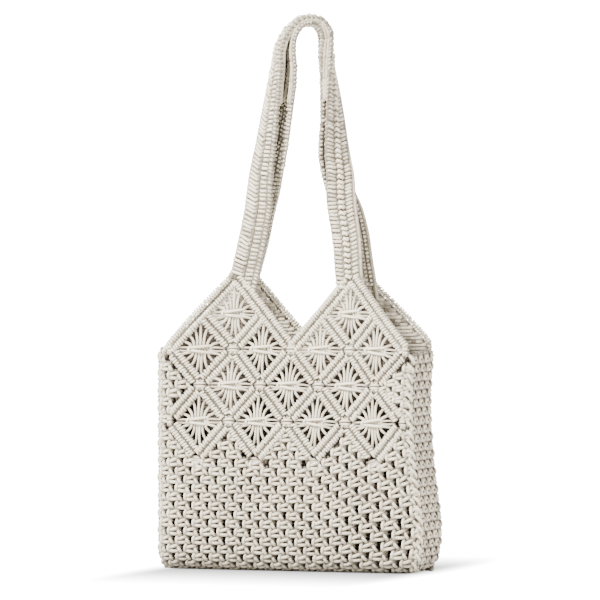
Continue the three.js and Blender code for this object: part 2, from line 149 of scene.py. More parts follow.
class Work:
    """Cords gathered into one piece. Each batch of paths becomes round, closed tubes."""

    def __init__(self, middle, top):
        self.points, self.quads, self.caps, self.lay, self.tone, self.painted_shade = [], [], [], [], [], []
        self.middle, self.top = middle, top
        self.count = 0

    def cords(self, placed, radius, sides=6, least=0.0):
        """Tubes: at each place of a path a ring of points, turned with the path without twist.
        Each point gets painted shade: 0 at the work's outer face and 1 in the middle of its thickness.
        Past the middle the painted shade lessens again, but only above the mouth; below it the inside
        stays painted dark. The flanks of every cord get painted shade too, where it meets its neighbours;
        least is the least painted shade for all of it."""
        paths, outward, relief = placed
        least = np.broadcast_to(least, relief.shape)
        paths, outward = (part.reshape(-1, *part.shape[-2:]) for part in (paths, outward))
        relief, least = relief.reshape(paths.shape[:2]), least.reshape(paths.shape[:2])
        many, places = paths.shape[:2]
        radius = np.broadcast_to(radius, (many, places))
        along = np.gradient(paths, axis=1)
        along /= np.linalg.norm(along, axis=-1, keepdims=True) + 1e-12
        first = np.eye(3)[np.argmin(np.abs(along[:, 0]), axis=1)]
        normals = np.empty_like(paths)
        for place in range(places):
            held = first if place == 0 else normals[:, place - 1]
            held = held - along[:, place] * np.sum(held * along[:, place], axis=-1, keepdims=True)
            normals[:, place] = held / np.linalg.norm(held, axis=-1, keepdims=True)
        across = np.cross(along, normals)
        turn = 2 * np.pi * np.arange(sides) / sides
        spoke = normals[:, :, None] * np.cos(turn)[:, None] + across[:, :, None] * np.sin(turn)[:, None]
        rings = paths[:, :, None] + spoke * radius[:, :, None, None]
        poles = paths[:, [0, -1]] + along[:, [0, -1]] * radius[:, [0, -1], None] * np.array([-0.5, 0.5])[:, None]
        points = np.concatenate([rings.reshape(many, -1, 3), poles], axis=1)
        height = relief[:, :, None] + radius[:, :, None] * np.einsum("npsk,npk->nps", spoke, outward)
        height = np.concatenate([height.reshape(many, -1), relief[:, [0, -1]]], axis=1)
        # Painted shade from depth: 0 at the outer face, 1 at the middle; past it, it falls to 0.15 above the mouth
        # but stays whole below, as the bag's dark inside.
        share = (self.top - height) / (self.top - self.middle)
        inner = 0.15 + 0.85 * smooth(0.34, 0.42, -points[..., 2])
        painted_shade = np.where(share < 1, share, 1 - np.clip(share - 1, 0, 1) * (1 - inner))
        # Where a cord's surface turns sideways towards its neighbours it gets painted shade too.
        slope = np.abs(np.einsum("npsk,npk->nps", spoke, outward)).reshape(many, -1)
        slope = np.concatenate([slope, np.zeros((many, 2))], axis=1)
        flank_shade = 0.82 * np.clip(1 - slope / 0.8, 0, 1)
        least = np.concatenate([np.repeat(least, sides, axis=1), least[:, [0, -1]]], axis=1)
        self.painted_shade.append(np.clip(np.maximum(painted_shade, flank_shade), least, 1).ravel())
        steps = np.linalg.norm(np.diff(paths, axis=1), axis=-1)
        run = np.concatenate([np.zeros((many, 1)), np.cumsum(steps, axis=1)], axis=1)
        run += chance.uniform(0, 0.1, (many, 1))
        lay = np.empty((many, places * sides + 2, 3))
        lay[:, :-2, 0] = np.repeat(run, sides, axis=1)
        lay[:, :-2, 1] = np.tile(np.cos(turn), places)
        lay[:, :-2, 2] = np.tile(np.sin(turn), places)
        lay[:, -2:] = np.stack([run[:, [0, -1]], np.ones((many, 2)), np.zeros((many, 2))], axis=-1)
        place, side = np.meshgrid(np.arange(places - 1), np.arange(sides), indexing="ij")
        here, beside = place * sides + side, place * sides + (side + 1) % sides
        quads = np.stack([here, beside, beside + sides, here + sides], axis=-1).reshape(-1, 4)
        side = np.arange(sides)
        start = np.stack([np.full(sides, places * sides), (side + 1) % sides, side], axis=-1)
        last = (places - 1) * sides
        end = np.stack([np.full(sides, places * sides + 1), last + side, last + (side + 1) % sides], axis=-1)
        offset = self.count + np.arange(many)[:, None, None] * (places * sides + 2)
        self.points.append(points.reshape(-1, 3))
        self.quads.append((quads + offset).reshape(-1, 4))
        self.caps.append((np.concatenate([start, end]) + offset).reshape(-1, 3))
        self.lay.append(lay.reshape(-1, 3))
        self.tone.append(np.repeat(chance.uniform(0, 1, many), places * sides + 2))
        self.count += many * (places * sides + 2)

    def piece(self, name, *nodes):
        """Makes the mesh and stands it in for the CAD nodes named."""
        quads, caps = np.concatenate(self.quads), np.concatenate(self.caps)
        mesh = bpy.data.meshes.new(name)
        mesh.vertices.add(self.count)
        mesh.vertices.foreach_set("co", np.concatenate(self.points).astype(np.float32).ravel())
        mesh.loops.add(quads.size + caps.size)
        mesh.loops.foreach_set("vertex_index", np.concatenate([quads.ravel(), caps.ravel()]).astype(np.int32))
        mesh.polygons.add(len(quads) + len(caps))
        starts = np.concatenate([np.arange(len(quads)) * 4, quads.size + np.arange(len(caps)) * 3])
        mesh.polygons.foreach_set("loop_start", starts.astype(np.int32))
        mesh.update(calc_edges=True)
        mesh.shade_smooth()
        lay = mesh.attributes.new("lay", "FLOAT_VECTOR", "POINT")
        lay.data.foreach_set("vector", np.concatenate(self.lay).astype(np.float32).ravel())
        tone = mesh.attributes.new("tone", "FLOAT", "POINT")
        tone.data.foreach_set("value", np.concatenate(self.tone).astype(np.float32))
        painted_shade = mesh.attributes.new("painted_shade", "FLOAT", "POINT")
        painted_shade.data.foreach_set("value", np.concatenate(self.painted_shade).astype(np.float32))
        mesh.materials.append(cotton)
        work = bpy.data.objects.new(name, mesh)
        bpy.context.scene.collection.objects.link(work)
        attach(work, "root")
        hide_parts(*nodes)
        print(name, len(quads) * 2 + len(caps), "triangles")
        return work


class Value:
    """A node socket that takes arithmetic: each operator adds the Math node of that name."""

    def __init__(self, socket):
        self.socket = socket

    def _math(self, operation, *values):
        return Value(shade_node("ShaderNodeMath", {"operation": operation}, *values).outputs[0])

    def __add__(self, other):
        return self._math("ADD", self, other)

    def __sub__(self, other):
        return self._math("SUBTRACT", self, other)

    def __rsub__(self, other):
        return self._math("SUBTRACT", other, self)

    def __mul__(self, other):
        return self._math("MULTIPLY", self, other)

    def sine(self):
        return self._math("SINE", self)

    def size(self):
        return self._math("ABSOLUTE", self)

    def smaller(self, other):
        return self._math("MINIMUM", self, other)

    def larger(self, other):
        return self._math("MAXIMUM", self, other)

    def raised(self, power):
        return self._math("POWER", self, power)

    def turned_from(self, other):
        return self._math("ARCTAN2", self, other)

    __radd__, __rmul__ = __add__, __mul__


def shade_node(kind, settings, *values, **named):
    """Adds a node to the material in hand: its settings, then values or links to its sockets."""
    made = tree.nodes.new(kind)
    for key, setting in settings.items():
        setattr(made, key, setting)
    for key, value in [*enumerate(values), *named.items()]:
        socket = made.inputs[key.replace("_", " ") if isinstance(key, str) else key]
        if isinstance(value, Value):
            tree.links.new(value.socket, socket)
        else:
            socket.default_value = value
    return made


cotton = bpy.data.materials.new("braided cotton")
cotton.use_nodes = True
tree = cotton.node_tree
shell = tree.nodes["Principled BSDF"]
lay = shade_node("ShaderNodeAttribute", {"attribute_name": "lay"})
tone, painted_shade = (Value(shade_node("ShaderNodeAttribute", {"attribute_name": name}).outputs["Fac"])
              for name in ("tone", "painted_shade"))
parts = shade_node("ShaderNodeSeparateXYZ", {}, Value(lay.outputs["Vector"]))
run, cosine, sine = (Value(socket) for socket in parts.outputs)
turn = sine.turned_from(cosine)
strand_turns, strand_pitch = 3, 0.0034
rightward = (turn * strand_turns + run * (2 * np.pi / strand_pitch)).sine()
leftward = (turn * strand_turns - run * (2 * np.pi / strand_pitch)).sine()
braid = rightward.larger(leftward)
places = Value(shade_node("ShaderNodeTexCoord", {}).outputs["Object"])
fuzz = Value(shade_node("ShaderNodeTexNoise", {}, places, Scale=1400.0, Detail=3.0).outputs["Fac"])
blotch = Value(shade_node("ShaderNodeTexNoise", {}, places, Scale=38.0, Detail=2.0).outputs["Fac"])
ecru, ecru_warm, ecru_shade = (0.790, 0.705, 0.545, 1), (0.660, 0.570, 0.410, 1), (0.050, 0.034, 0.019, 1)


def mixed(share, first, second):
    """The first colour passing into the second with the share."""
    made = shade_node("ShaderNodeMix", {"data_type": "RGBA"}, share)
    for socket, colour in zip([s for s in made.inputs if s.type == "RGBA"], (first, second)):
        if isinstance(colour, Value):
            tree.links.new(colour.socket, socket)
        else:
            socket.default_value = colour
    return Value([s for s in made.outputs if s.type == "RGBA"][0])


# Each cord's own tone differs at random, with blotches; the braid's grooves get a little painted shade. Then the
# mesh's painted shade darkens it towards ecru_shade.
tone_and_braid_shade = mixed(tone * 0.45 + blotch * 0.45 + (1 - braid) * 0.08, ecru, ecru_warm)
shaded = mixed(painted_shade.raised(1.25) * 0.95, tone_and_braid_shade, ecru_shade)
tree.links.new(shaded.socket, shell.inputs["Base Color"])
bump = shade_node("ShaderNodeBump", {}, Strength=0.55, Distance=0.0004, Height=braid * 0.6 + fuzz * 0.8)
tree.links.new(bump.outputs["Normal"], shell.inputs["Normal"])
shell.inputs["Roughness"].default_value = 0.80
shell.inputs["Specular IOR Level"].default_value = 0.35
shell.inputs["Sheen Weight"].default_value = 0.15
shell.inputs["Sheen Roughness"].default_value = 0.5

# Each knot's cords as four-point curves: right, up and out from the knot's middle, in millimetres.
knot_cords = [
    [(-5.6, 5.4, -1.8), (-7.4, 4.6, 3.2), (-7.6, -2.8, 3.2), (-5.6, -4.4, -1.6)],
    [(-6.8, 0.4, -2.2), (-4.6, 1.8, 3.0), (3.0, 3.9, 3.0), (6.4, 4.6, -2.6)],
    [(-6.6, -2.4, -2.2), (-4.2, -2.6, 2.8), (3.6, -2.7, 2.8), (7.0, -2.8, -2.4)],
    [(4.8, 2.6, -2.4), (6.6, 1.2, 2.4), (8.4, -2.6, 2.4), (10.6, -5.8, -2.4)],
]
under_cords = [
    [(8.4, 8.0, -1.8), (7.0, 6.0, -0.4), (5.4, 3.6, -0.4), (3.6, 0.6, -2.2)],
    [(-2.2, 7.6, -1.4), (-2.4, 3.0, -1.2), (-2.6, -3.0, -1.2), (-4.6, -9.0, -1.8)],
    [(2.2, 7.6, -1.4), (2.4, 3.0, -1.2), (2.6, -3.0, -1.2), (4.6, -9.0, -1.8)],
    [(-8.0, 1.0, -1.4), (-4.0, 2.4, -3.6), (4.0, 3.2, -3.6), (9.0, 2.2, -1.4)],
    [(-9.0, -3.0, -1.4), (-4.0, -3.2, -3.6), (4.0, -2.6, -3.6), (8.0, -3.4, -1.4)],
]
# The cords that pass behind a gap, painted in full shade for the dark inside of the bag.
inner_cords = [
    [(7.4, 9.5, -2.2), (7.6, 4.0, -3.2), (7.6, -2.0, -3.2), (7.4, -6.5, -2.2)],
    [(10.8, 9.5, -2.2), (10.8, 4.0, -3.2), (10.8, -2.0, -3.2), (10.8, -6.5, -2.2)],
    [(14.2, 9.5, -2.2), (14.0, 4.0, -3.2), (14.0, -2.0, -3.2), (14.2, -6.5, -2.2)],
]
# The under cords carry a little painted shade; the cords behind the gaps carry it in full.
knot_shapes = [(bent(knot_cords, 6) * 0.001, 0.0021, 6, 0.0), (bent(under_cords, 5) * 0.001, 0.0019, 5, 0.2)]
closed_shapes = knot_shapes + [(bent(inner_cords, 3) * 0.001, 0.0026, 4, 1.0)]


def tie_knots(work, surface, across, drop, reach, shapes, pull=None):
    """One square knot at each place: its cords' points are turned a little and set on the surface.
    What runs on past the reach is pressed back against it, as knots are along a seam, and is given painted shade
    there."""
    many = len(across)
    tilt = chance.normal(0, 0.06, many)[:, None, None]
    size = chance.normal(1, 0.03, (many, 1, 1))
    deeper = chance.normal(0, 0.0002, (many, 1, 1))
    for shape, radius, sides, least in shapes:
        u, w, out = (shape[None, ..., axis] for axis in range(3))
        a = across[:, None, None] + size * (u * np.cos(tilt) - w * np.sin(tilt))
        d = drop[:, None, None] - size * (u * np.sin(tilt) + w * np.cos(tilt))
        past = a - np.clip(a, *reach)
        a = a - 0.85 * past
        if pull is not None:
            d = d - pull(a, d)
        work.cords(stand_off(surface, a, d, np.broadcast_to(out + net_middle, a.shape) + deeper),
                   radius, sides, least + (0.45 - 0.45 * least) * smooth(0.0, 0.003, np.abs(past)))


half_width, half_height = 0.037, 0.043
apex_drop = 0.301
bar_half = 0.0085
slope_angle = np.arctan(half_height / half_width)
edge_length = np.hypot(half_width, half_height)
bar_share = bar_half / (edge_length * np.sin(2 * slope_angle))
cells = [(place, level) for level, places in ((1, (-2, 2)), (2, (-3, -1, 1, 3)), (3, (-2, 0, 2)), (4, (-3, -1, 1, 3)))
         for place in places]


def seam_at(side):
    return (left_half if side < 0 else right_half) - (left_radius if side < 0 else right_radius) * seam_share


def clear_of_bars(side, x, z, grow):
    """True where a point lies outside every diamond grown by a share of its size."""
    free = np.ones(x.shape, bool)
    for place, level in cells:
        across = np.abs(x - place * half_width) / half_width
        up = np.abs(z + apex_drop + level * half_height - lift_at(side, x)) / half_height
        free &= across + up > grow
    return free


def knot_places(low, high, reach, pitch=knot_pitch):
    """A field of places from low to high, each row half a pitch across from the next."""
    rows = np.arange(int((low - high) / knot_rise) + 1)
    columns = np.arange(-14, 15)
    row, column = np.meshgrid(rows, columns, indexing="ij")
    across = ((column + 0.5 * (row % 2)) * pitch).ravel()
    drop = (low - row * knot_rise).ravel()
    keep = (across > reach[0]) & (across < reach[1])
    return across[keep], drop[keep]


# The short cords that close the corner under a lowest diamond's tip, with a little painted shade.
tip_shapes = [(bent([[(-9.5, -1.6, -1.8), (-5.0, -0.8, 0.8), (-1.0, -0.8, 0.8), (4.0, -2.2, -1.6)],
                     [(-7.5, -4.6, -1.8), (-3.0, -3.8, 0.8), (3.0, -3.8, 0.8), (7.5, -4.6, -1.8)],
                     [(-8.0, -7.4, -2.0), (-3.0, -7.0, -0.2), (3.0, -7.0, -0.2), (8.0, -7.4, -2.0)]], 4) * 0.001,
               0.0021, 6, 0.15)]
hem = -body_bottom - base_radius + base_radius * 1.30
tips = [(place, 5) for place in (-3, -1, 1, 3)]
for name, side in (("front", -1), ("back", 1)):
    ends = sorted((side * seam_at(-1), -side * seam_at(1)))
    across, drop = knot_places(hem, 0.392, (ends[0] - 0.004, ends[1] + 0.004))
    pull = (lambda a, d, side=side: drawn_up(-side * a, d)) if side < 0 else None
    shown = drop - (pull(across, drop) if pull else 0)
    lift = lift_at(side, -side * across)
    keep = clear_of_bars(side, -side * across, height_at(shown), 1 + 1.05 * bar_share) & (shown > 0.394 - lift)
    # A knot hangs from the tip of each lowest diamond, in place of those that would crowd it.
    tip_across = np.array([-side * place * half_width for place, level in tips])
    tip_drop = np.array([apex_drop + level * half_height + 0.0095 for place, level in tips])
    tip_drop -= lift_at(side, -side * tip_across)
    if pull:
        tip_drop += pull(tip_across, tip_drop)
    far = np.ones(len(across), bool)
    for tip_a, tip_d in zip(tip_across, tip_drop):
        far &= np.hypot((across - tip_a) / knot_pitch, (drop - tip_d) / (1.7 * knot_rise)) > 0.34
    across, drop = np.append(across[keep & far], tip_across), np.append(drop[keep & far], tip_drop)
    net = Work(net_middle, net_top)
    tie_knots(net, wall(side), across, drop, (ends[0] + 0.001, ends[1] - 0.001), knot_shapes, pull)
    tie_knots(net, wall(side), tip_across, tip_drop - 0.0095, ends, tip_shapes, pull)
    if side > 0:
        # Behind the back's gaps cords pass straight across, close together: they shut out the light and are painted
        # in full shade.
        left, low = np.meshgrid(np.arange(ends[0] + 0.011, ends[1] + 0.011, 0.022), np.arange(0.522, hem, 0.0042))
        behind = np.clip(left.reshape(-1, 1) + np.array([-0.0115, 0.0, 0.0115]), *ends)
        net.cords(stand_off(wall(side), behind, low.reshape(-1, 1) + 0 * behind,
                            np.full(behind.shape, -0.0062)), 0.0030, 4, 1.0)
    net.piece(f"{name}_net_knots", f"{name}_net")

# The two side nets: the same knots, carried on round the corners from seam to seam.
def side_wall(side):
    """A side as a surface of the way round it and the drop: flat, with a quarter arc at each corner."""
    radius = left_radius if side < 0 else right_radius

    def surface(across, drop):
        z = height_at(drop)
        inset = arc_drop(base_radius, body_bottom + base_radius - z)
        flat = side_depth - radius
        angle = np.clip((np.abs(across) - flat) / radius, 0, np.pi / 2)
        y = np.sign(across) * (np.minimum(np.abs(across), flat) + radius * np.sin(angle))
        y = y * (1 - inset / side_depth)
        x = half_at(np.full_like(z, side), z) - inset - radius * (1 - np.cos(angle))
        up = np.clip((-drop - body_bottom - base_radius) / (side_top - body_bottom - base_radius), 0, 1.2)
        rise = lift_at(1, np.full_like(z, side * 0.15)) * up * (1 + side * across / side_depth) / 2
        return np.stack([side * x - sway, side * y, z + rise], axis=-1)
    return surface


for name, side, pitch in (("left", -1, 0.0222), ("right", 1, 0.0211)):
    radius = left_radius if side < 0 else right_radius
    reach = side_depth - radius + radius * np.arccos(1 - seam_share)
    across, drop = knot_places(hem, 0.394, (-reach - 0.003, reach + 0.003), pitch)
    net = Work(net_middle + 0.0012, net_top + 0.0003)
    tie_knots(net, side_wall(side), across, drop, (-reach + 0.001, reach - 0.001), closed_shapes)
    if side > 0:
        # The lacing that joins this side to the front: short cords laid aslant across the seam.
        lace_drop = np.arange(0.397, 0.650, 0.0112)[:, None, None]
        lace = bent([[(-5.6, -6.0, -1.0), (-3.0, -3.6, 5.2), (2.2, 3.6, 5.2), (5.0, 7.0, -1.4)]], 7) * 0.001
        relief = np.broadcast_to(lace[None, ..., 2] + net_middle, (len(lace_drop), *lace.shape[:2]))
        net.cords(stand_off(side_wall(side), lace[None, ..., 0] - reach + 0.0030 + 0 * lace_drop,
                            lace[None, ..., 1] + lace_drop, relief), 0.0021)
    # A plain cord runs down each seam that is not laced.
    for end in ((-1, 1) if side < 0 else (1,)):
        seam_drop = np.linspace(0.391, 0.655, 140)[None]
        seam_across = end * reach + 0.0005 * np.sin(seam_drop * 620)
        net.cords(stand_off(side_wall(side), seam_across, seam_drop, np.full(seam_drop.shape, -0.0012)),
                  0.0021 + 0.0006 * np.sin(seam_drop * 1100))
    net.piece(f"{name}_side_knots", f"{name}_gusset")

# The base: rows of the same knots across the flat underside.
def underside(across, drop):
    """The bag's flat underside as a surface of x and y."""
    return np.stack([across - sway, drop, np.full_like(across, body_bottom)], axis=-1)


across, drop = knot_places(0.0208, -0.0209, (-0.150, 0.142))
floor_net = Work(net_middle, net_top)
tie_knots(floor_net, underside, across, drop, (-0.155, 0.147), closed_shapes)
floor_net.piece("base_knots", "base")

# The hitched bars round the diamonds: two rows of double half hitches side by side, each hitch a
# short cord drawn over a carrier cord, so the rows look like flat beads laid square to the bar.
hitch_pitch = 0.0035
row_offset = 0.0044
hitch_middle = -0.0009
hitch_angles = np.radians(np.linspace(-172, 172, 9))
ring_across = 0.00262 * np.sign(hitch_angles) * np.abs(np.sin(hitch_angles)) ** 0.8
ring_out = 0.0019 * np.sign(np.cos(hitch_angles)) * np.abs(np.cos(hitch_angles)) ** 0.8
ring_slant = 0.0006 * np.sin(hitch_angles)
bar_runs = [
    ((2, 0), (4, 2), 0.002, 0.000), ((-2, 0), (-4, 2), 0.006, 0.000),
    ((2, 0), (0, 2), 0.006, 0.002), ((-2, 0), (0, 2), 0.002, 0.006),
]
inner_nodes = [(0, 2), (2, 2), (-2, 2), (1, 3), (-1, 3), (3, 3), (-3, 3), (0, 4), (2, 4), (-2, 4),
               (4, 2), (-4, 2), (4, 4), (-4, 4)]
border = {((2, 0), (3, 1)), ((3, 1), (4, 2)), ((-2, 0), (-3, 1)), ((-3, 1), (-4, 2)),
          ((2, 0), (1, 1)), ((1, 1), (0, 2)), ((-2, 0), (-1, 1)), ((-1, 1), (0, 2))}
edges = set()
for place, level in cells:
    top, bottom = (place, level - 1), (place, level + 1)
    for side in (-1, 1):
        edges |= {(top, (place + side, level)), ((place + side, level), bottom)}
for start, end in sorted(edges - border):
    bar_runs.append((start, end, 0.0072, 0.0072 if end[1] < 5 else 0.002 + 0.004 * (end[0] > start[0])))


def hitch_row(start, end, start_gap, end_gap, offset):
    """Places and directions of one row's hitches along a run between two crossings."""
    first = np.array([start[0] * half_width, apex_drop + start[1] * half_height])
    last = np.array([end[0] * half_width, apex_drop + end[1] * half_height])
    length = np.linalg.norm(last - first)
    along = (last - first) / length
    count = int(round((length - start_gap - end_gap) / hitch_pitch))
    run = start_gap + (np.arange(count) + 0.5) * (length - start_gap - end_gap) / count
    square = np.array([along[1], -along[0]])
    return first + run[:, None] * along + offset * square, along, square


for name, side in (("front", -1), ("back", 1)):
    bars = Work(hitch_middle + 0.0014, 0.0026)
    surface = wall(side)
    for start, end, start_gap, end_gap in bar_runs:
        for offset in (-row_offset, row_offset):
            past = 0.010 * (abs(end[0]) == 4 and start[1] == 0 and offset * end[0] > 0)
            middle, along, square = hitch_row(start, end, start_gap, end_gap - past, offset)
            many = len(middle)
            slant = ring_slant + chance.normal(0, 0.0004, (many, 1)) * np.sin(hitch_angles)
            bulge = chance.normal(1, 0.07, (many, 1))
            spot = middle[:, None] + (ring_across * bulge)[..., None] * square
            spot = spot + slant[..., None] * along
            relief = hitch_middle + ring_out * bulge
            a, d = -side * spot[..., 0], spot[..., 1] - lift_at(side, spot[..., 0])
            keep = (spot[:, 4, 0] < seam_at(1) - 0.004) & (spot[:, 4, 0] > -seam_at(-1) + 0.004)
            bars.cords(stand_off(surface, a[keep], d[keep], relief[keep]), 0.0017)
            # The carrier cords under the rows and between them are painted in nearly full shade.
            for shift, radius in ((0.0, 0.0013), (-offset, 0.0021)):
                core = middle[:, None] + along * np.array([-0.5, 0.5])[:, None] * hitch_pitch * 1.02 + shift * square
                core = core[keep]
                bars.cords(stand_off(surface, -side * core[..., 0], core[..., 1] - lift_at(side, core[..., 0]),
                                     np.full(core.shape[:2], hitch_middle)), radius, 5, 0.85)
    for place, level in inner_nodes:
        neck = np.array([[(-7.2, 0.4, -1.5), (-5.0, 2.6, 1.6), (4.0, 2.8, 1.8), (7.0, 1.4, -1.5)],
                         [(-6.8, -1.6, -1.5), (-3.6, -2.2, 1.8), (4.6, -1.6, 1.8), (7.4, -2.6, -1.5)],
                         [(-4.4, 5.6, -2.0), (-3.6, 5.0, 1.4), (-1.8, 3.6, 1.4), (-1.6, 0.6, -2.0)],
                         [(4.6, 5.8, -2.0), (3.4, 5.2, 1.4), (1.8, 3.8, 1.4), (1.4, 0.8, -2.0)],
                         [(-4.6, -5.8, -2.0), (-3.4, -5.4, 1.4), (-2.0, -4.0, 1.4), (-1.4, -1.0, -2.0)],
                         [(4.4, -6.0, -2.0), (3.4, -5.4, 1.4), (2.0, -4.2, 1.4), (1.6, -1.0, -2.0)],
                         [(0.3, 8.0, -2.0), (0.2, 5.6, 0.4), (0.1, 3.4, 0.4), (0.1, 1.0, -2.0)],
                         [(0.2, -8.0, -2.0), (0.2, -5.6, 0.4), (0.1, -3.4, 0.4), (0.1, -1.0, -2.0)]])
        shape = bent(neck, 7) * 0.001
        a = -side * place * half_width + shape[..., 0] * (0.5 if abs(place) > 3 else 1)
        d = apex_drop + level * half_height - lift_at(side, -side * a) - shape[..., 1]
        bars.cords(stand_off(surface, a, d, shape[..., 2] - 0.0002), 0.0018)
    if side > 0:
        # The closing cords go on behind the diamonds, painted in full shade; near the mouth each gets only a random
        # share of it.
        left, drop = np.meshgrid(np.arange(-0.160, 0.160, 0.0060), np.arange(0.30, 0.54, 0.0042))
        under = drop - apex_drop - np.abs(np.abs(left) - 2 * half_width) * half_height / half_width
        inside = under > 0.002
        row = np.clip(left[inside][:, None] + np.array([-0.0034, 0.0034]), -seam_at(1), seam_at(-1))
        shade = np.where(under[inside] < 0.036, chance.uniform(0.1, 1.0, inside.sum()), 1.0)[:, None]
        bars.cords(stand_off(surface, row, drop[inside][:, None] - lift_at(side, -side * row),
                             np.full(row.shape, -0.0054)), 0.0030, 4, shade)
    bars.piece(f"{name}_hitches", f"{name}_bars")

# The stars: the cords between the bars of a diamond, drawn together and tied in the middle by one
# square knot, above and below which they fan out to the hitches.
inner_width = half_width * (1 - 2 * bar_share)
inner_height = half_height * (1 - 2 * bar_share)
bar_square = np.array([np.sin(slope_angle), np.cos(slope_angle)])
# reach: where a cord meets the bars, as a share of the diamond's half width; gather: where it passes
# under the tie, as a share of the tie's half width.
upper_fan = {"reach": [-0.74, -0.50, -0.26, -0.02, 0.22, 0.47, 0.73],
             "gather": [-0.95, -0.68, -0.36, -0.06, 0.26, 0.60, 0.92]}
lower_fan = {"reach": [-0.80, -0.60, -0.38, -0.15, 0.07, 0.30, 0.55, 0.80],
             "gather": [-0.96, -0.72, -0.44, -0.16, 0.12, 0.40, 0.70, 0.96]}
tie_half = 0.0112
tie_cords = bent([
    [(-13.2, 0.8, -1.4), (-9.0, 2.0, 5.6), (4.4, 2.9, 5.4), (12.6, 4.4, -1.8)],
    [(-13.0, -1.6, -1.4), (-8.2, -2.2, 5.4), (4.8, -4.0, 5.2), (14.2, -4.8, -1.8)],
    [(-10.4, 3.4, -1.4), (-15.2, 2.6, 4.2), (-15.2, -3.2, 4.2), (-10.6, -4.2, -1.4)],
    [(-11.0, 1.0, -1.6), (-6.0, 1.8, -4.4), (6.0, 1.8, -4.4), (11.0, 1.4, -1.6)],
    [(-11.0, -1.6, -1.6), (-6.0, -2.2, -4.4), (6.0, -2.2, -4.4), (11.0, -1.6, -1.6)],
], 8) * 0.001


def fan(table, upward):
    """Cords of one half of a star: curves from under the tie, leaving it upright, to the bars."""
    reach, gather = np.array(table["reach"]), np.array(table["gather"])
    sway_off = chance.normal(0, 0.012, len(reach))
    end_x = (reach + sway_off) * inner_width
    end_z = inner_height * (1 - np.abs(reach + sway_off))
    steep = np.abs(reach)[:, None] ** 0.7
    toward = np.stack([np.sign(reach) * np.abs(reach) ** 0.7 * 1.1, 1 - 0.62 * np.abs(reach)], axis=-1)
    toward /= np.linalg.norm(toward, axis=-1, keepdims=True)
    end = np.stack([end_x, end_z], axis=-1)
    past = end + 0.0035 * toward
    start = np.stack([gather * tie_half, np.zeros(len(reach))], axis=-1)
    lifted = np.stack([gather * tie_half * 1.04, 0.30 * end_z + 0.0050], axis=-1)
    near = end - (0.008 - 0.003 * steep) * toward
    flat = np.stack([start, lifted, near, past], axis=1)
    out = np.array([[0.0, 0.9, 0.8, -1.6]]) * 0.001 + chance.normal(0, 0.00035, (len(reach), 1))
    points = np.dstack([flat, np.broadcast_to(out, flat.shape[:2])])
    points[..., 1] *= upward
    return bent(points, 9)


side_cords = bent([
    [(-27.5, 1.0, -1.4), (-22.0, 1.9, 0.2), (-16.0, 1.5, 0.2), (-10.0, 1.0, 0.0)],
    [(-27.0, -1.6, -1.4), (-21.0, -2.8, 0.2), (-16.0, -3.0, 0.2), (-10.0, -1.8, 0.0)],
    [(10.0, 1.4, 0.0), (16.0, 2.4, 0.2), (21.0, 2.0, 0.2), (27.5, 0.9, -1.4)],
    [(10.0, -1.4, 0.0), (16.0, -2.4, 0.2), (21.0, -2.8, 0.2), (27.0, -1.8, -1.4)],
], 7) * 0.001
for name, side in (("front", -1), ("back", 1)):
    surface = wall(side)
    for number, (place, level) in enumerate(cells, 1):
        star = Work(-0.0016, 0.0027)
        middle_a = -side * place * half_width
        middle_d = apex_drop + level * half_height
        tilt = chance.normal(0, 0.03)
        # The side cords carry some painted shade.
        shapes = [(fan(upper_fan, 1), 0.00168, 0.0), (fan(lower_fan, -1), 0.00165, 0.0),
                  (side_cords, 0.0013, 0.3), (tie_cords, 0.0018, 0.0)]
        for shape, radius, least in shapes:
            a = middle_a + shape[..., 0] * np.cos(tilt) - shape[..., 1] * np.sin(tilt)
            d = middle_d - shape[..., 0] * np.sin(tilt) - shape[..., 1] * np.cos(tilt)
            d = d - lift_at(side, -side * a)
            star.cords(stand_off(surface, a, d, shape[..., 2] - 0.0004), radius, 6, least)
        if side < 0 and abs(place) == 3 and level == 2:
            # Beside the mouth's corners no back wall lies behind the fan, so cords close it here, painted in full
            # shade.
            height = np.arange(-inner_height, inner_height, 0.0036)[:, None]
            behind = (inner_width * (1 - np.abs(height) / inner_height) + 0.004) * np.array([-1, 0, 1])
            a, d = middle_a + behind, middle_d + height + 0 * behind
            star.cords(stand_off(surface, a, d, np.full(a.shape, -0.0052)), 0.0027, 4, 1.0)
        star.piece(f"{name}_star_cords_{number}", f"{name}_star_{number}")

# The two straps: three rows of knots side by side, each row a stack of cords wrapped across it,
# with a plain cord along one edge. Both cross the hook together, the front one over the back one.
strap_spread, strap_drop, strap_tail = 0.067, 0.290, 0.040
strap_thickness, fit_gap = 0.007, 0.0003
root_split, nest_split = 0.0144, (0.007 + 2 * 0.0003) / 2
hook_turn = 30.0
shoulder_spread, shoulder_drop = 0.17, 0.035
leg_rows = {
    "rise": [0.0, 0.12, 0.22, 0.32, 0.42, 0.52, 0.62, 0.72, 0.82, 0.91, 0.97],
    "left": [1.1, 0.97, 0.88, 0.78, 0.69, 0.6, 0.53, 0.46, 0.4, 0.37, 0.31],
    "right": [0.97, 0.89, 0.78, 0.66, 0.59, 0.53, 0.49, 0.45, 0.41, 0.38, 0.33],
    "turn": [0.0, 0.05, 0.13, 0.25, 0.38, 0.5, 0.61, 0.72, 0.84, 0.94, 0.98],
    "split": [0.0, 0.12, 0.4, 0.7, 0.86, 0.93, 0.97, 1.0, 1.0, 1.0, 1.0],
}


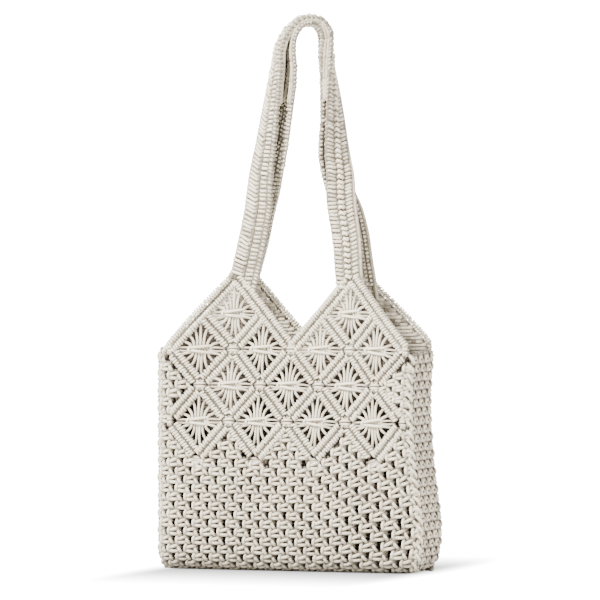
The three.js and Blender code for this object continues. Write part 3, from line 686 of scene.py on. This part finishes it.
def strap_stations():
    """The middle line of both straps, with each place's facing in degrees and its split."""
    rows = np.array([leg_rows[key] for key in ("rise", "left", "right", "turn", "split")]).T
    slopes = (rows[0, 1:3] - rows[1, 1:3]) * strap_spread / ((rows[1, 0] - rows[0, 0]) * strap_drop)
    top = nest_split + strap_thickness / 2
    shoulder = [strap_spread * shoulder_spread, top - strap_spread * shoulder_drop, 1, 1]
    found = []
    for side, column in ((-1, 1), (1, 2)):
        leg = [[strap_spread * rows[0, column] + strap_tail * slopes[column - 1], -strap_drop - strap_tail, 0, 0]]
        leg += [[strap_spread * row[column], strap_drop * (row[0] - 1), row[3], row[4]] for row in rows]
        leg.append(shoulder)
        leg = [[side, *row] for row in leg]
        found += leg + [[1, 0, top, 1, 1]] if side < 0 else leg[::-1]
    side, spread, z, turn, split = np.array(found).T
    around = np.radians(hook_turn * turn)
    facing = np.radians(np.where(side < 0, 180 - (90 - hook_turn) * turn, (90 + hook_turn) * turn))
    facing[len(rows) + 2] = np.radians(90 + hook_turn)
    held = root_split + (nest_split - root_split) * split
    return np.stack([side * spread * np.cos(around), side * spread * np.sin(around), z,
                     np.cos(facing), np.sin(facing), held], axis=-1)


def flowing(stations, steps):
    """A smooth line through the stations: a cubic on each stretch, timed by the root of its chord."""
    chords = np.linalg.norm(np.diff(stations[:, :3], axis=0), axis=1) ** 0.5
    times = np.concatenate([[0], np.cumsum(chords)])
    value = np.interp(np.linspace(0, len(stations) - 1, steps), np.arange(len(stations)), times)
    return np.stack([through(times, column, value) for column in stations.T], axis=-1)


strap_line = flowing(strap_stations(), 600)
strap_run = np.concatenate([[0], np.cumsum(np.linalg.norm(np.diff(strap_line[:, :3], axis=0), axis=1))])
strap_length = strap_run[-1]


# How far each leg of the front (-1) and back (1) strap hangs to the right, in millimetres.
leg_shift = {
    "height": [-0.30, -0.27, -0.22, -0.20, -0.18, -0.155, -0.11, -0.07, -0.04, -0.009, 0.012],
    (-1, -1): [4.0, 4.0, 4.0, 1.2, -1.2, -2.5, -3.8, -4.5, -4.0, -3.0, 0.0],
    (1, -1): [-5.0, -3.5, 0.0, 2.5, 3.8, 5.0, 6.4, 7.4, 6.0, 1.0, 0.0],
    (-1, 1): [-5.0, -4.0, -4.5, -2.5, -0.5, -1.0, 0.0, 1.0, 1.2, 0.5, 0.0],
    (1, 1): [0.0, 0.0, 3.0, 1.0, -2.0, -4.0, 0.0, -1.0, -2.0, -2.0, 0.0],
}


def strap(side):
    """A strap's outer face as a surface of across and run: its line, moved apart from the other's."""
    def surface(across, run):
        line = np.stack([np.interp(run, strap_run, column) for column in strap_line.T], axis=-1)
        ahead = np.stack([np.interp(run + 0.002, strap_run, column) for column in strap_line.T[:3]], axis=-1)
        behind = np.stack([np.interp(run - 0.002, strap_run, column) for column in strap_line.T[:3]], axis=-1)
        along = ahead - behind
        along /= np.linalg.norm(along, axis=-1, keepdims=True)
        wide = np.concatenate([line[..., 3:5], np.zeros(line.shape[:-1] + (1,))], axis=-1)
        wide -= along * np.sum(wide * along, axis=-1, keepdims=True)
        wide /= np.linalg.norm(wide, axis=-1, keepdims=True)
        outward = np.cross(along, wide)
        place = line[..., :3] - side * outward * line[..., 5:6] + wide * across[..., None]
        place[..., 0] += 0.006 * smooth(-0.035, 0.012, place[..., 2])
        for leg in (-1, 1):
            offsets = through(leg_shift["height"], leg_shift[side, leg], place[..., 2]) * 0.001
            place[..., 0] += offsets * (leg * (run - strap_length / 2) > 0)
        return place, -side * outward
    return surface


def strap_cords(work, side, across, run, relief, radius, sides=6, least=0.0):
    """Cords on a strap, left out where they would run down past the bag's hitched edge."""
    place, outward = strap(side)(across, run)
    paths = place + outward * relief[..., None]
    middle = paths.mean(axis=-2)
    lift = lift_at(side, middle[:, 0] + sway)
    off = np.abs(np.abs(middle[:, 0] + sway) - 2 * half_width)
    keep = middle[:, 2] > body_top + lift - off * half_height / half_width - 0.010
    work.cords((paths[keep], outward[keep], relief[keep]), radius, sides, least)


wrap_angles = np.radians(np.linspace(-160, 160, 9))
wrap_wide = np.sign(wrap_angles) * np.abs(np.sin(wrap_angles)) ** 0.8
wrap_out = 0.0018 * np.sign(np.cos(wrap_angles)) * np.abs(np.cos(wrap_angles)) ** 0.8
# Each column of a leg: its middle and half width, its wraps' pitch, radius and lean, and how far
# it stands out. The lean of the left leg's wide column grows towards the top.
leg_columns = {
    -1: [(0.0092, 0.0090, 0.0049, 0.0019, 0.28, 0.0004), (-0.0062, 0.0062, 0.0052, 0.0019, -0.30, 0.0),
         (-0.0150, 0.0036, 0.0047, 0.0018, 0.30, -0.0006)],
    1: [(-0.0112, 0.0069, 0.0048, 0.0019, 0.40, 0.0), (-0.0002, 0.0050, 0.0064, 0.0022, 0.90, 0.0012),
        (0.0094, 0.0054, 0.0048, 0.0019, -0.45, 0.0)],
}
for name, side in (("front", -1), ("back", 1)):
    band = Work(0.0008, 0.0045)
    for leg, found in leg_columns.items():
        first, last = (0.004, strap_length / 2) if leg < 0 else (strap_length / 2, strap_length - 0.004)
        for middle, half, pitch, radius, lean, out in found:
            start = np.arange(first, last, pitch)[:, None]
            many = len(start)
            bulge = chance.normal(1, 0.06, (many, 1))
            wide = (half - radius) * wrap_wide * bulge
            steep = lean * (1 + 1.4 * (leg < 0 < middle) * smooth(0.05, 0.26, start))
            steep = steep + chance.normal(0, 0.10, (many, 1))
            run = start + steep * wide * np.cos(wrap_angles) + chance.normal(0, 0.0004, (many, 1))
            relief = wrap_out * bulge + out * (np.cos(wrap_angles) > 0) + chance.normal(0, 0.0004, (many, 1))
            strap_cords(band, side, middle + wide, run, relief, radius)
    # The cords that the rows are wrapped round, painted in nearly full shade, and the plain one along the outer edge.
    places = np.linspace(0.0, strap_length, 29 * 4 + 1)
    pieces = np.stack([places[step:step + 5] for step in range(0, 29 * 4, 4)])
    for across in np.linspace(-0.0156, 0.0145, 10):
        strap_cords(band, side, np.full(pieces.shape, across), pieces, np.zeros(pieces.shape), 0.0021, 5, 0.9)
    # Within 105 mm of the strap's middle more cords lie deeper, with half the painted shade.
    upper = pieces[np.abs(pieces[:, 2] - strap_length / 2) < 0.105]
    for across in (-0.0155, -0.0110, 0.0, 0.0110, 0.0155):
        strap_cords(band, side, np.full(upper.shape, across), upper, np.full(upper.shape, -0.0034), 0.0021, 5, 0.5)
    strap_cords(band, side, np.full(pieces.shape, 0.0162), pieces, np.full(pieces.shape, 0.0004), 0.0020)
    band.piece(f"{name}_strap_knots", f"{name}_strap")

# A plain pale floor, soft studio light, and the camera at the photograph's angle. Floor and
# surround look white to the camera, while little light comes from them.
floor_mesh = bpy.data.meshes.new("studio_floor")
floor_mesh.from_pydata([(-8, -4, body_bottom), (8, -4, body_bottom), (8, 30, body_bottom), (-8, 30, body_bottom)],
                       [], [(0, 1, 2, 3)])
paper = bpy.data.materials.new("white paper")
paper.use_nodes = True
tree = paper.node_tree
diffuse = tree.nodes["Principled BSDF"]
diffuse.inputs["Roughness"].default_value = 0.9
seen = Value(shade_node("ShaderNodeLightPath", {}).outputs["Is Camera Ray"])
spot = shade_node("ShaderNodeSeparateXYZ", {}, Value(shade_node("ShaderNodeTexCoord", {}).outputs["Object"]))
right, deep = Value(spot.outputs[0]), Value(spot.outputs[1])
# Close to the bag the floor's glow and base colour are both darkened: a painted contact shadow.
beside = ((right + 0.009).size() - 0.140).larger(0.0)
before = (deep.size() - 0.030).larger(0.0)
away = (beside * beside * 36.0 + before * before).raised(0.5)
lit = ((away * 3.4 + 0.30) * 0.72).smaller(1.0).raised(3.0)
glow = shade_node("ShaderNodeCombineXYZ", {}, lit, lit, lit)
tree.links.new(glow.outputs[0], diffuse.inputs["Emission Color"])
pale = 0.20 + lit * 0.65
painted = shade_node("ShaderNodeCombineXYZ", {}, pale, pale, pale)
tree.links.new(painted.outputs[0], diffuse.inputs["Base Color"])
tree.links.new((seen * 18.0).socket, diffuse.inputs["Emission Strength"])
floor_mesh.materials.append(paper)
floor = bpy.data.objects.new("studio_floor", floor_mesh)
bpy.context.scene.collection.objects.link(floor)

world = bpy.data.worlds.new("studio")
world.use_nodes = True
tree = world.node_tree
seen = Value(shade_node("ShaderNodeLightPath", {}).outputs["Is Camera Ray"])
tree.links.new((seen * 24.0 + 0.10).socket, tree.nodes["Background"].inputs["Strength"])
tree.nodes["Background"].inputs["Color"].default_value = (1, 1, 1, 1)
bpy.context.scene.world = world
lamps = {
    "key": ((-1.2, -1.8, 2.1), 0.5, 610.0),
    "fill": ((2.1, -1.5, 0.5), 1.4, 92.0),
    "top": ((0.2, 0.2, 2.2), 1.6, 40.0),
    "rear": ((0.9, 2.4, 1.5), 1.4, 150.0),
}
for name, (place, size, watts) in lamps.items():
    light = bpy.data.lights.new(name, "AREA")
    light.size, light.energy = size, watts
    lamp = bpy.data.objects.new(name, light)
    lamp.location = place
    aim = np.array([0, 0, -0.35]) - np.array(place)
    lamp.rotation_euler = (np.arctan2(np.hypot(aim[0], aim[1]), -aim[2]), 0, np.arctan2(-aim[0], aim[1]))
    bpy.context.scene.collection.objects.link(lamp)

view_turn, view_rise, view_distance = np.radians(20.0), np.radians(1.0), 7.0
aim = np.array([-0.006 * np.cos(view_turn), -0.006 * np.sin(view_turn), -0.328])
back = np.array([np.sin(view_turn) * np.cos(view_rise), -np.cos(view_turn) * np.cos(view_rise), np.sin(view_rise)])
lens = bpy.data.cameras.new("camera")
lens.sensor_width, lens.lens = 36.0, 350.0
camera = bpy.data.objects.new("camera", lens)
camera.location = aim + back * view_distance
camera.rotation_euler = (np.pi / 2 - view_rise, 0, view_turn)
bpy.context.scene.collection.objects.link(camera)
bpy.context.scene.camera = camera
